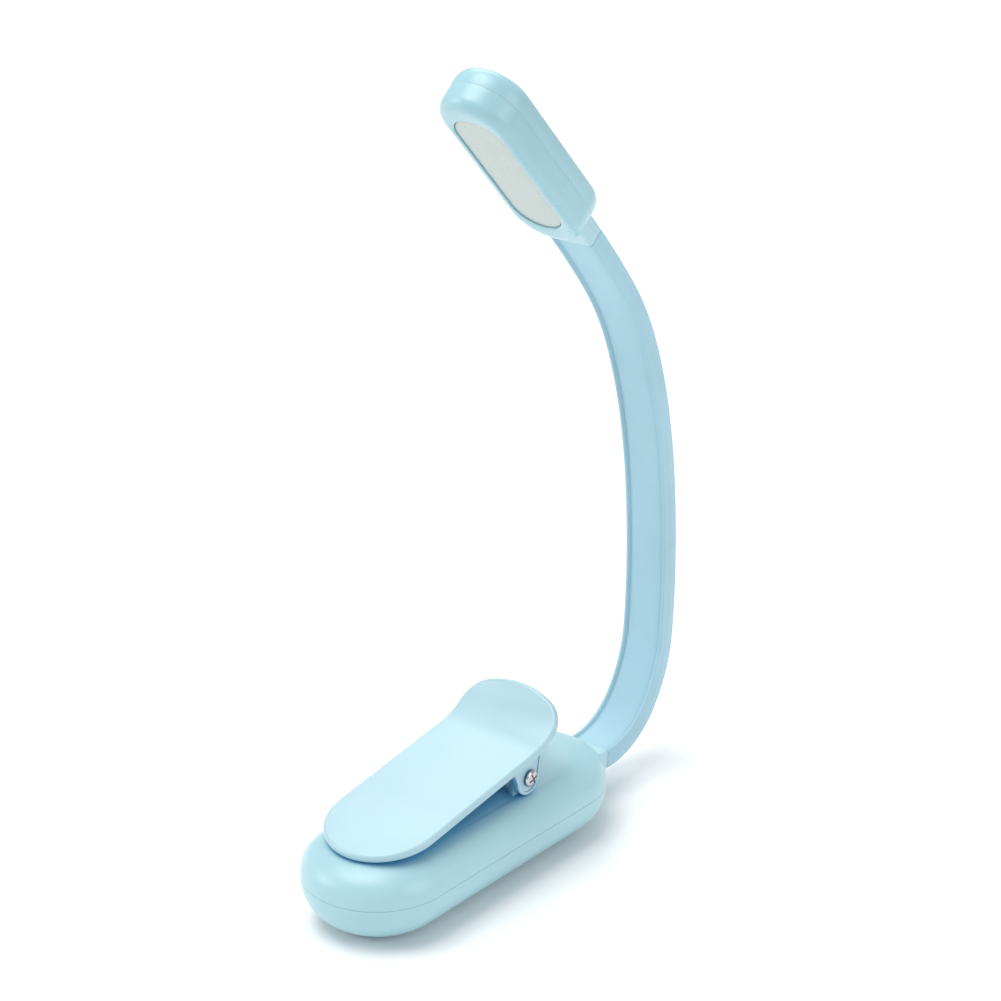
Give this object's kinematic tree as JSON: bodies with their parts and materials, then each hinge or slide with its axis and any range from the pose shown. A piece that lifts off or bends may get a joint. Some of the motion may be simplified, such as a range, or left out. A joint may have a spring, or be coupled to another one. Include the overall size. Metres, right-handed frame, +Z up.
{
  "type": "clip-on reading lamp",
  "caption": "Clip-on rechargeable reading lamp: rounded case with a sprung book clip, a flat bendable silicone neck and a slim capsule head with a frosted diffuser.",
  "frame": {"origin": "centre of the flat underside of the case", "axes": "+Z up from the underside, -Y towards the tip of the clip, +Y towards the neck, +X towards the hinge screw head"},
  "size_m": [0.0293, 0.0973, 0.1495],
  "materials": {
    "grip_rubber": "ribbed silicone",
    "case_plastic": "satin moulded ABS, light blue",
    "battery_foil": "laminated pouch foil",
    "lead_black": "PVC insulation",
    "lead_red": "PVC insulation",
    "battery_tape": "foam tape",
    "screw_steel": "plated steel",
    "component_black": "black moulding compound",
    "socket_steel": "nickel-plated steel",
    "jaw_plastic": "satin moulded ABS, lighter blue",
    "hinge_steel": "bright plated steel",
    "indicator_clear": "clear light pipe",
    "led_package": "phosphor in white package",
    "board_white": "white solder mask on fibreglass board",
    "lens_white": "milky frosted diffuser",
    "board_green": "solder mask on fibreglass board",
    "cable_jacket": "PVC jacket",
    "core_wire": "bare bendable wire",
    "neck_silicone": "matte moulded silicone, light blue",
    "plunger_white": "white plastic"
  },
  "bodies": {
    "base": {"base_grip_pad": "grip_rubber", "base_lower_shell": "case_plastic", "base_upper_shell": "case_plastic", "battery_cell": "battery_foil", "battery_lead_black": "lead_black", "battery_lead_red": "lead_red", "battery_tape": "battery_tape", "case_screw_front": "screw_steel", "case_screw_rear": "screw_steel", "charge_chip": "component_black", "charge_socket": "socket_steel", "hinge_nut": "hinge_steel", "hinge_pin": "hinge_steel", "indicator_lens": "indicator_clear", "main_board": "board_green", "neck_base_collar": "case_plastic", "neck_cable_1": "cable_jacket", "neck_core_left_1": "core_wire", "neck_core_right_1": "core_wire", "neck_sleeve_1": "neck_silicone", "socket_tongue": "component_black", "switch_body": "component_black", "torsion_spring": "hinge_steel"},
    "neck_link_2": {"neck_cable_2": "cable_jacket", "neck_core_left_2": "core_wire", "neck_core_right_2": "core_wire", "neck_sleeve_2": "neck_silicone"},
    "neck_link_3": {"neck_cable_3": "cable_jacket", "neck_core_left_3": "core_wire", "neck_core_right_3": "core_wire", "neck_sleeve_3": "neck_silicone"},
    "neck_link_4": {"neck_cable_4": "cable_jacket", "neck_core_left_4": "core_wire", "neck_core_right_4": "core_wire", "neck_sleeve_4": "neck_silicone"},
    "neck_link_5": {"neck_cable_5": "cable_jacket", "neck_core_left_5": "core_wire", "neck_core_right_5": "core_wire", "neck_sleeve_5": "neck_silicone"},
    "head": {"head_front_shell": "case_plastic", "head_rear_shell": "case_plastic", "led_1": "led_package", "led_2": "led_package", "led_3": "led_package", "led_4": "led_package", "led_5": "led_package", "led_board": "board_white", "led_resistor": "component_black", "lens_diffuser": "lens_white", "neck_cable_6": "cable_jacket", "neck_core_left_6": "core_wire", "neck_core_right_6": "core_wire", "neck_head_collar": "case_plastic", "neck_sleeve_6": "neck_silicone"},
    "jaw": {"clip_jaw": "jaw_plastic", "jaw_grip_pad": "grip_rubber"},
    "button": {"power_button": "case_plastic", "switch_plunger": "plunger_white"}
  },
  "joints": [
    {"name": "neck_bend_1", "type": "hinge", "parent": "base", "child": "neck_link_2", "pos_m": [0, 0.05574, 0.01843], "axis": [1, 0, 0], "range_deg": [-30, 12]},
    {"name": "neck_bend_2", "type": "hinge", "parent": "neck_link_2", "child": "neck_link_3", "pos_m": [0, 0.05914, 0.03862], "axis": [1, 0, 0], "range_deg": [-30, 12]},
    {"name": "neck_bend_3", "type": "hinge", "parent": "neck_link_3", "child": "neck_link_4", "pos_m": [0, 0.05844, 0.05927], "axis": [1, 0, 0], "range_deg": [-30, 15]},
    {"name": "neck_bend_4", "type": "hinge", "parent": "neck_link_4", "child": "neck_link_5", "pos_m": [0, 0.05494, 0.07961], "axis": [1, 0, 0], "range_deg": [-30, 18]},
    {"name": "neck_bend_5", "type": "hinge", "parent": "neck_link_5", "child": "head", "pos_m": [0, 0.04717, 0.09868], "axis": [1, 0, 0], "range_deg": [-30, 25]},
    {"name": "jaw_hinge", "type": "hinge", "parent": "base", "child": "jaw", "pos_m": [0, 0.0086, 0.0187], "axis": [-1, 0, 0], "range_deg": [0, 28], "stiffness_Nm_per_rad": 0.25, "springref_deg": -34.38, "deforming": ["torsion_spring"]},
    {"name": "button_press", "type": "slide", "parent": "base", "child": "button", "axis": [1, 0, 0], "range_m": [0, 0.0004], "stiffness_N_per_m": 1500, "springref_m": -0.0003}
  ]
}
